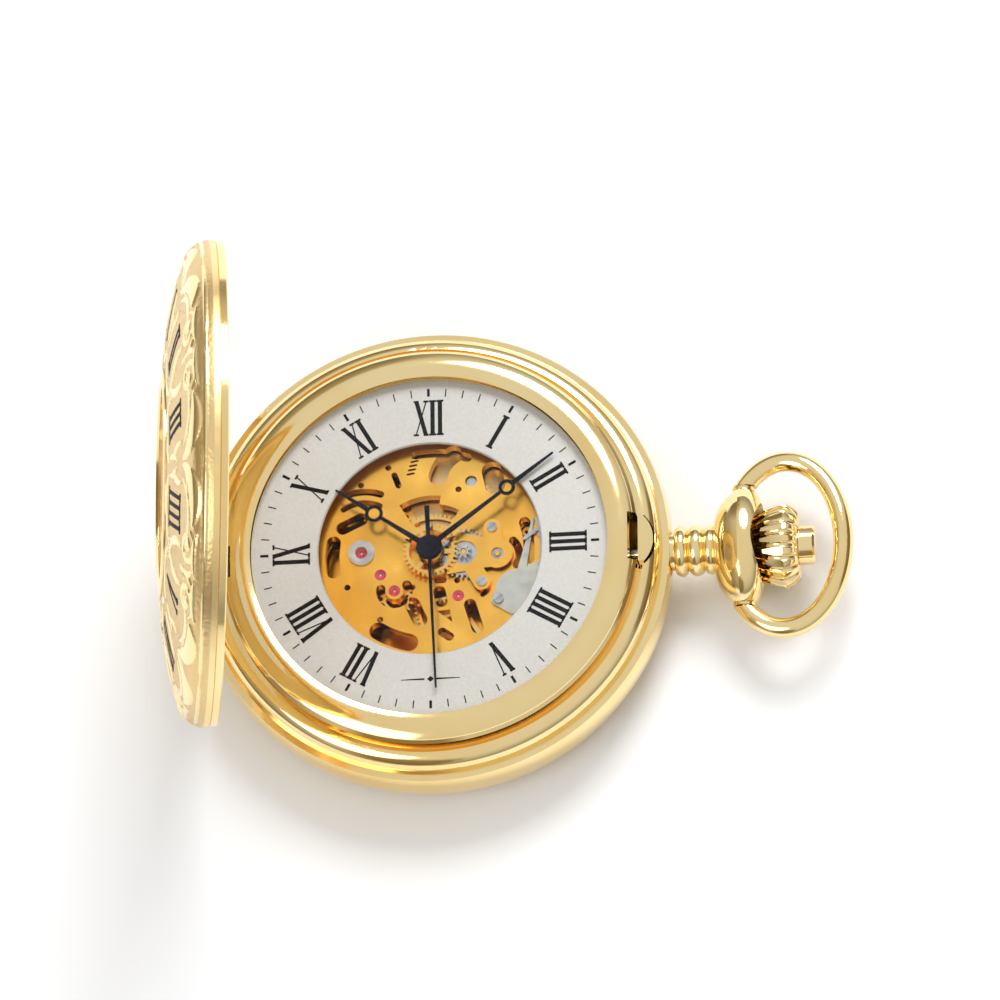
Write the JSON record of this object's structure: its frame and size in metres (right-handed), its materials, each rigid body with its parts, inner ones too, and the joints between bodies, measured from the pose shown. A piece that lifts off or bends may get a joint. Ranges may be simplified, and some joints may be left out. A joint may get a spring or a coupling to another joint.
{
  "type": "hunter pocket watch",
  "caption": "Gold hunter pocket watch lying on its back with the sprung lid open: skeleton dial with Roman numerals, hands, gear train, fluted crown and swinging bow.",
  "frame": {"origin": "centre of the back cover's flat, on which the watch lies", "axes": "+Z out of the dial, +Y towards 12 o'clock, +X towards the crown at 3 o'clock"},
  "size_m": [0.0668, 0.047, 0.0529],
  "materials": {
    "case_gold": "polished gold plate",
    "crystal": "clear",
    "dial_white": "satin",
    "movement_gold": "gilt",
    "wheel_brass": "polished",
    "steel": "polished",
    "hand_black": "gloss",
    "ruby": "polished"
  },
  "bodies": {
    "case": {"case_band": "case_gold", "back_cover": "case_gold", "bezel_ring": "case_gold", "front_crystal": "crystal", "dial": "dial_white", "dial_feet": "movement_gold", "movement_ring": "movement_gold", "case_screws": "steel", "pendant": "case_gold", "lift_spring": "steel", "hinge_pin": "steel", "main_plate": "movement_gold", "barrel_bridge": "movement_gold", "train_bridge": "movement_gold", "balance_cock": "movement_gold", "regulator": "steel", "pallet_cock": "movement_gold", "bridge_screws": "steel", "jewels": "ruby", "balance_setting": "steel", "motion_cover": "movement_gold", "motion_screws": "steel", "setting_cover": "steel", "setting_lever": "steel", "yoke": "steel", "winding_screws": "steel", "click": "steel", "click_spring": "steel", "hairspring": "steel"},
    "lid": {"lid_shell": "case_gold", "lid_rim": "case_gold", "lid_window_bezel": "case_gold", "lid_window_crystal": "crystal"},
    "bow": {"bow": "case_gold"},
    "winding": {"winding_pinion": "steel", "clutch": "steel"},
    "stem": {"winding_stem": "steel"},
    "crown": {"crown": "case_gold", "crown_cap": "case_gold"},
    "catch": {"lid_catch": "case_gold"},
    "crown_wheel": {"crown_wheel": "steel"},
    "ratchet": {"ratchet_wheel": "steel", "barrel_arbor": "steel"},
    "seconds": {"fourth_wheel": "wheel_brass", "seconds_hand": "hand_black"},
    "third": {"third_wheel": "wheel_brass"},
    "centre": {"center_wheel": "wheel_brass", "cannon_pinion": "steel", "minute_hand": "hand_black"},
    "hour": {"hour_wheel": "steel", "hour_hand": "hand_black"},
    "minute_wheel": {"minute_wheel": "steel"},
    "setting_wheel": {"setting_wheel": "steel"},
    "barrel": {"barrel": "wheel_brass", "barrel_cover": "wheel_brass", "mainspring": "steel"},
    "escape": {"escape_wheel": "wheel_brass"},
    "pallet": {"pallet_fork": "steel", "pallet_stones": "ruby"},
    "balance": {"balance_wheel": "wheel_brass"}
  },
  "joints": [
    {"name": "lid_hinge", "type": "hinge", "parent": "case", "child": "lid", "pos_m": [-0.0224, 0, 0.0075], "axis": [0, -1, 0], "range_deg": [-80, 0], "stiffness_Nm_per_rad": 0.002, "springref_deg": 20.05},
    {"name": "bow_swivel", "type": "hinge", "parent": "case", "child": "bow", "pos_m": [0.0304, 0, 0.0049], "axis": [0, -1, 0], "range_deg": [-126, 114]},
    {"name": "crown_turn", "type": "hinge", "parent": "case", "child": "winding", "pos_m": [0.014, 0, 0.0049], "axis": [1, 0, 0], "continuous": true},
    {"name": "crown_pull", "type": "slide", "parent": "winding", "child": "stem", "axis": [1, 0, 0], "range_m": [0, 0.001]},
    {"name": "crown_push", "type": "slide", "parent": "stem", "child": "crown", "axis": [1, 0, 0], "range_m": [-0.0005, 0], "stiffness_N_per_m": 4000},
    {"name": "catch_slide", "type": "slide", "parent": "case", "child": "catch", "axis": [1, 0, 0], "range_m": [-0.0005, 0]},
    {"name": "crown_wheel_turn", "type": "hinge", "parent": "case", "child": "crown_wheel", "pos_m": [0.0102, 0, 0.0033], "axis": [0, 0, 1], "continuous": true},
    {"name": "ratchet_turn", "type": "hinge", "parent": "case", "child": "ratchet", "pos_m": [0.00394, 0.00742, 0.0033], "axis": [0, 0, 1], "continuous": true},
    {"name": "seconds_turn", "type": "hinge", "parent": "case", "child": "seconds", "pos_m": [0, 0, 0.0043], "axis": [0, 0, 1], "continuous": true},
    {"name": "third_turn", "type": "hinge", "parent": "case", "child": "third", "pos_m": [0.0026, -0.0045, 0.0053], "axis": [0, 0, 1], "continuous": true},
    {"name": "minute_turn", "type": "hinge", "parent": "case", "child": "centre", "pos_m": [0, 0, 0.0063], "axis": [0, 0, 1], "continuous": true},
    {"name": "hour_turn", "type": "hinge", "parent": "case", "child": "hour", "pos_m": [0, 0, 0.0086], "axis": [0, 0, 1], "continuous": true},
    {"name": "minute_wheel_turn", "type": "hinge", "parent": "case", "child": "minute_wheel", "pos_m": [0.00327, -0.00029, 0.0081], "axis": [0, 0, 1], "continuous": true},
    {"name": "setting_wheel_turn", "type": "hinge", "parent": "case", "child": "setting_wheel", "pos_m": [0.00654, -0.00051, 0.0081], "axis": [0, 0, 1], "continuous": true},
    {"name": "barrel_turn", "type": "hinge", "parent": "case", "child": "barrel", "pos_m": [0.00394, 0.00742, 0.0053], "axis": [0, 0, 1], "continuous": true},
    {"name": "escape_turn", "type": "hinge", "parent": "case", "child": "escape", "pos_m": [-0.00368, -0.00368, 0.0057], "axis": [0, 0, 1], "continuous": true},
    {"name": "pallet_swing", "type": "hinge", "parent": "case", "child": "pallet", "pos_m": [-0.00504, -0.00195, 0.0057], "axis": [0, 0, 1], "range_deg": [-5, 5]},
    {"name": "balance_swing", "type": "hinge", "parent": "case", "child": "balance", "pos_m": [-0.0069, 0.0004, 0.0049], "axis": [0, 0, 1], "range_deg": [-270, 270], "stiffness_Nm_per_rad": 0.0000003}
  ],
  "couplings": [
    {"joint": "catch_slide", "follows": "crown_push", "ratio": 1},
    {"joint": "crown_wheel_turn", "follows": "crown_turn", "ratio": 0.29545},
    {"joint": "ratchet_turn", "follows": "crown_turn", "ratio": -0.24528},
    {"joint": "third_turn", "follows": "seconds_turn", "ratio": -0.13333},
    {"joint": "minute_turn", "follows": "seconds_turn", "ratio": 0.016667},
    {"joint": "hour_turn", "follows": "seconds_turn", "ratio": 0.0013889},
    {"joint": "minute_wheel_turn", "follows": "seconds_turn", "ratio": -0.0055556},
    {"joint": "setting_wheel_turn", "follows": "seconds_turn", "ratio": 0.016667},
    {"joint": "barrel_turn", "follows": "seconds_turn", "ratio": -0.0027778},
    {"joint": "escape_turn", "follows": "seconds_turn", "ratio": -10}
  ]
}
